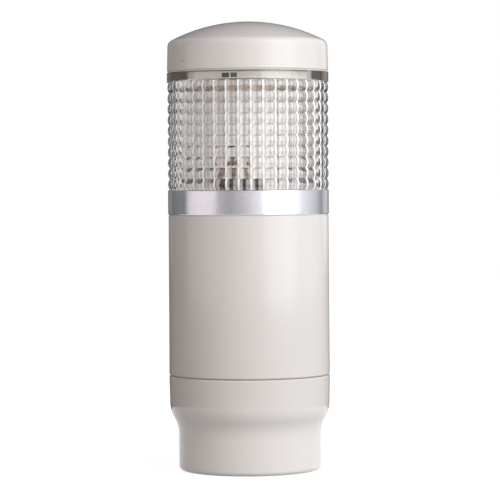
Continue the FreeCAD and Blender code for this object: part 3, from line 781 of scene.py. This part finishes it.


# Paints the outer faces: a painted highlight at each rib's root, painted shade in the row valleys, on the
# flanks beside the root and in the middle of each rib
def paintHighlightAndShade(bm, ribsFoot, ribsTop):
    shape = lensShape
    for face in bm.faces:
        centre = face.calc_center_median()
        radius = math.hypot(centre.x, centre.y)
        if radius < shape["radius"] - shape["outerDepth"] or not ribsFoot < centre.z < ribsTop:
            continue
        rib, row = cellPlace(centre, ribsFoot)
        inFromRoot = min(rib, 1 - rib)
        inValley = min(row, 1 - row) < shape["valleyShadeShare"] and centre.z > ribsFoot + shape["plainFoot"]
        if inFromRoot < shape["rootHighlightShare"]:
            face.material_index = lensFinishes.index("lens_root")
        elif inValley and inFromRoot > shape["valleyFrom"]:
            face.material_index = lensFinishes.index("lens_valley")
        elif inFromRoot < shape["flankShare"] or inFromRoot > shape["middleFrom"]:
            face.material_index = lensFinishes.index("lens_flank")


def makeLens():
    ribsFoot = topOf("silver_ring")
    ribsTop = ribsFoot + lensShape["rowCount"] * lensShape["rowPitch"]
    bm = bmesh.new()
    closedProfile(bm, lensOutline(ribsFoot, ribsTop))
    spinRound(bm, lensShape["ribCount"] * lensShape["stepsPerRib"])
    swellLens(bm, ribsFoot, ribsTop)
    paintHighlightAndShade(bm, ribsFoot, ribsTop)
    piece = finishPiece("ribbedLens", bm, lensFinishes, "led_unit", lensShape["smoothAngle"])
    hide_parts("lens")


makeLens()
print("lens ready")


# Lips of the seals, which close the three seams between the housings

lips = {
    "gasketLip": {"inner": 26.65 * mm, "outer": 29.80 * mm, "bulge": 0.12 * mm},
    "seamLip": {"inner": 27.30 * mm, "outer": 29.70 * mm, "bulge": 0.12 * mm},
    "unitLip": {"inner": 28.45 * mm, "outer": 29.75 * mm, "bulge": 0.08 * mm},
    "seamFoot": 35.40 * mm,
    "seamTop": 35.85 * mm,
    "clearance": 0.03 * mm,     # above and below each lip
    "bulgeSteps": 4,
    "steps": 192,
}


# Turned ring with a rounded outer edge
def makeLip(name, foot, top, finish, body):
    inner, outer = lips[name]["inner"], lips[name]["outer"]
    low, high = foot + lips["clearance"], top - lips["clearance"]
    bm = bmesh.new()
    chain = closedProfile(bm, [(inner, low), (outer, low), (outer, high), (inner, high)])
    roundCorners(bm, chain[1:3], lips[name]["bulge"], lips["bulgeSteps"])
    spinRound(bm, lips["steps"])
    return finishPiece(name, bm, (finish,), body)


gasketLip = makeLip("gasketLip", footOf("cover_gasket"), footOf("head_cover"), "gasket", "led_unit")
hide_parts("cover_gasket")
seamLip = makeLip("seamLip", lips["seamFoot"], lips["seamTop"], "seam_lip", "base")
unitLip = makeLip("unitLip", topOf("body"), footOf("silver_ring"), "seal_lip", "base")
print("seams ready")


# White cap over the upper board, with two shallow window insets in its rim that carry painted shade in place
# of openings

shade = {
    "radius": 22.3 * mm,
    "wall": 0.5 * mm,
    "foot": 145.25 * mm,
    "top": 147.95 * mm,
    "vent": 0.2 * mm,           # small hole in the middle
    "edge": 0.12 * mm,
    "edgeSteps": 3,
    "steps": 144,
    "windows": ((-8.5 * mm, -6.1 * mm), (-5.6 * mm, -3.5 * mm)),
    "windowHeights": (145.6 * mm, 147.3 * mm),
    "windowDepth": 0.25 * mm,
    "windowFrame": 0.05 * mm,
}


def makeShade():
    radius, wall, foot, top, vent = (shade[key] for key in ("radius", "wall", "foot", "top", "vent"))
    bm = bmesh.new()
    chain = closedProfile(bm, [(vent, top), (radius, top), (radius, foot), (radius - wall, foot),
                               (radius - wall, top - wall), (vent, top - wall)])
    roundCorners(bm, chain[1:3], shade["edge"], shade["edgeSteps"])
    spinRound(bm, shade["steps"])
    cutAcross(bm, xAxis, [x for window in shade["windows"] for x in window])
    cutAcross(bm, zAxis, shade["windowHeights"])
    low, high = shade["windowHeights"]
    windows = []
    for face in bm.faces:
        centre = face.calc_center_median()
        outer = math.hypot(centre.x, centre.y) > radius - wall / 2
        front = centre.y < 0 and face.normal.y < -0.5
        across = any(left < centre.x < right for left, right in shade["windows"])
        if outer and front and across and low < centre.z < high:
            windows.append(face)
    rims = bmesh.ops.inset_region(bm, faces=windows, thickness=shade["windowFrame"],
                                  depth=-shade["windowDepth"], use_even_offset=True, use_boundary=True)
    for face in windows + rims["faces"]:
        face.material_index = 1     # the dark finish, as painted shade
    piece = finishPiece("boardShade", bm, ("film", "dark_plastic"), "led_unit")


makeShade()
print("shade ready")


# Wire-to-board connector with its contact windows, sunk recesses lined with painted shade

connector = {
    "windows": (-10.0 * mm, -5.45 * mm, -1.15 * mm, 3.25 * mm),
    "windowWidth": 0.42 * mm,
    "windowMargin": 0.7 * mm,       # above and below each window
    "windowDepth": 1.6 * mm,
    "windowTaper": 0.12 * mm,
    "edge": 0.25 * mm,
    "edgeSteps": 3,
}


def makeConnector():
    low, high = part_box("lead_connector")
    bm = bmesh.new()
    bmesh.ops.create_cube(bm, size=1)
    bmesh.ops.scale(bm, vec=high - low, verts=bm.verts)
    bmesh.ops.translate(bm, vec=(high + low) / 2, verts=bm.verts)
    roundCorners(bm, bm.edges[:], connector["edge"], connector["edgeSteps"], affect="EDGES")
    half = connector["windowWidth"] / 2
    foot, top = low.z + connector["windowMargin"], high.z - connector["windowMargin"]
    cutAcross(bm, xAxis, [x + side * half for x in connector["windows"] for side in (-1, 1)])
    cutAcross(bm, zAxis, (foot, top))
    windows = []
    for face in bm.faces:
        centre = face.calc_center_median()
        atWindow = any(abs(centre.x - x) < half * 0.9 for x in connector["windows"])
        if face.normal.y < -0.99 and atWindow and foot < centre.z < top:
            windows.append(face)
    sunk = bmesh.ops.extrude_discrete_faces(bm, faces=windows)["faces"]
    rims = bmesh.ops.inset_individual(bm, faces=sunk, thickness=connector["windowTaper"],
                                      depth=-connector["windowDepth"])
    for face in sunk + rims["faces"]:
        face.material_index = 1     # the dark finish, as painted shade inside each recess
    piece = finishPiece("leadConnector", bm, ("nylon", "dark_plastic"), "led_unit")
    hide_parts("lead_connector")


# Leads, each from its contact, up and in through the hole in the light tube to the LED board

leads = {
    "red": {"start": -10.6 * mm, "bow": 2.6 * mm},
    "orange": {"start": -6.1 * mm, "bow": 1.2 * mm},
    "yellow": {"start": -1.5 * mm, "bow": 2.0 * mm},
}
leadRoute = {
    "contactBack": 2.1 * mm,    # behind the connector's front
    "contactSink": 0.2 * mm,    # below its top
    "rise": 2.2 * mm,
    "lean": 0.4,                # share of the way sideways at the bow
    "turnBack": 0.6 * mm,
    "tubeOutside": -15.5 * mm,
    "tubeInside": -11.0 * mm,
}


def makeLead(colour, start, bow):
    name = "lead_wire_" + colour
    low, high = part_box(name)
    radius = (high.x - low.x) / 2
    end = Vector(((low.x + high.x) / 2, high.y, high.z - radius))
    contactLow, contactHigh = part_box("lead_connector")
    foot = Vector((start, contactLow.y + leadRoute["contactBack"], contactHigh.z - leadRoute["contactSink"]))
    lean = leadRoute["lean"]
    route = [foot, foot + zAxis * leadRoute["rise"],
             Vector((start * (1 - lean) + end.x * lean, foot.y, end.z - bow)),
             Vector((end.x, foot.y + leadRoute["turnBack"], end.z)),
             Vector((end.x, leadRoute["tubeOutside"], end.z)),
             Vector((end.x, leadRoute["tubeInside"], end.z)), end]
    curve = bpy.data.curves.new("lead_" + colour, "CURVE")
    curve.dimensions = "3D"
    curve.bevel_depth = radius
    curve.bevel_resolution = 5
    curve.use_fill_caps = True
    spline = curve.splines.new("NURBS")
    spline.points.add(len(route) - 1)
    for point, place in zip(spline.points, route):
        point.co = (*place, 1)
    spline.order_u = 3
    spline.use_endpoint_u = True
    lead = addObject("lead_" + colour, curve, finishes[colour + "_wire"])
    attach(lead, "led_unit")
    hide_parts(name)


makeConnector()
for colour, lead in leads.items():
    makeLead(colour, **lead)
print("connector and leads ready")


# Phosphor windows of the LEDs, four on each of the three boards

ledWindow = {
    "radius": 1.7 * mm,
    "dome": 0.45 * mm,
    "sink": 0.05 * mm,
    "segments": (24, 12),
    "smoothAngle": 60,
}


def makeLedWindows():
    bm = bmesh.new()
    around, upward = ledWindow["segments"]
    flatten = Matrix.Diagonal((1, 1, ledWindow["dome"] / ledWindow["radius"], 1))
    stand = Matrix.Rotation(quarterTurn, 4, "X")
    for board in range(3):
        turn = Matrix.Rotation(fullTurn * board / 3, 4, "Z")
        for row in range(1, 5):
            low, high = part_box(f"led_{row}_on_board_1")
            dome = bmesh.ops.create_uvsphere(bm, u_segments=around, v_segments=upward,
                                             radius=ledWindow["radius"])
            place = Matrix.Translation((0, low.y + ledWindow["sink"], (low.z + high.z) / 2))
            bmesh.ops.transform(bm, matrix=turn @ place @ stand @ flatten, verts=dome["verts"])
    piece = finishPiece("ledWindows", bm, ("phosphor",), "led_unit", ledWindow["smoothAngle"])


makeLedWindows()
print("LED details ready")
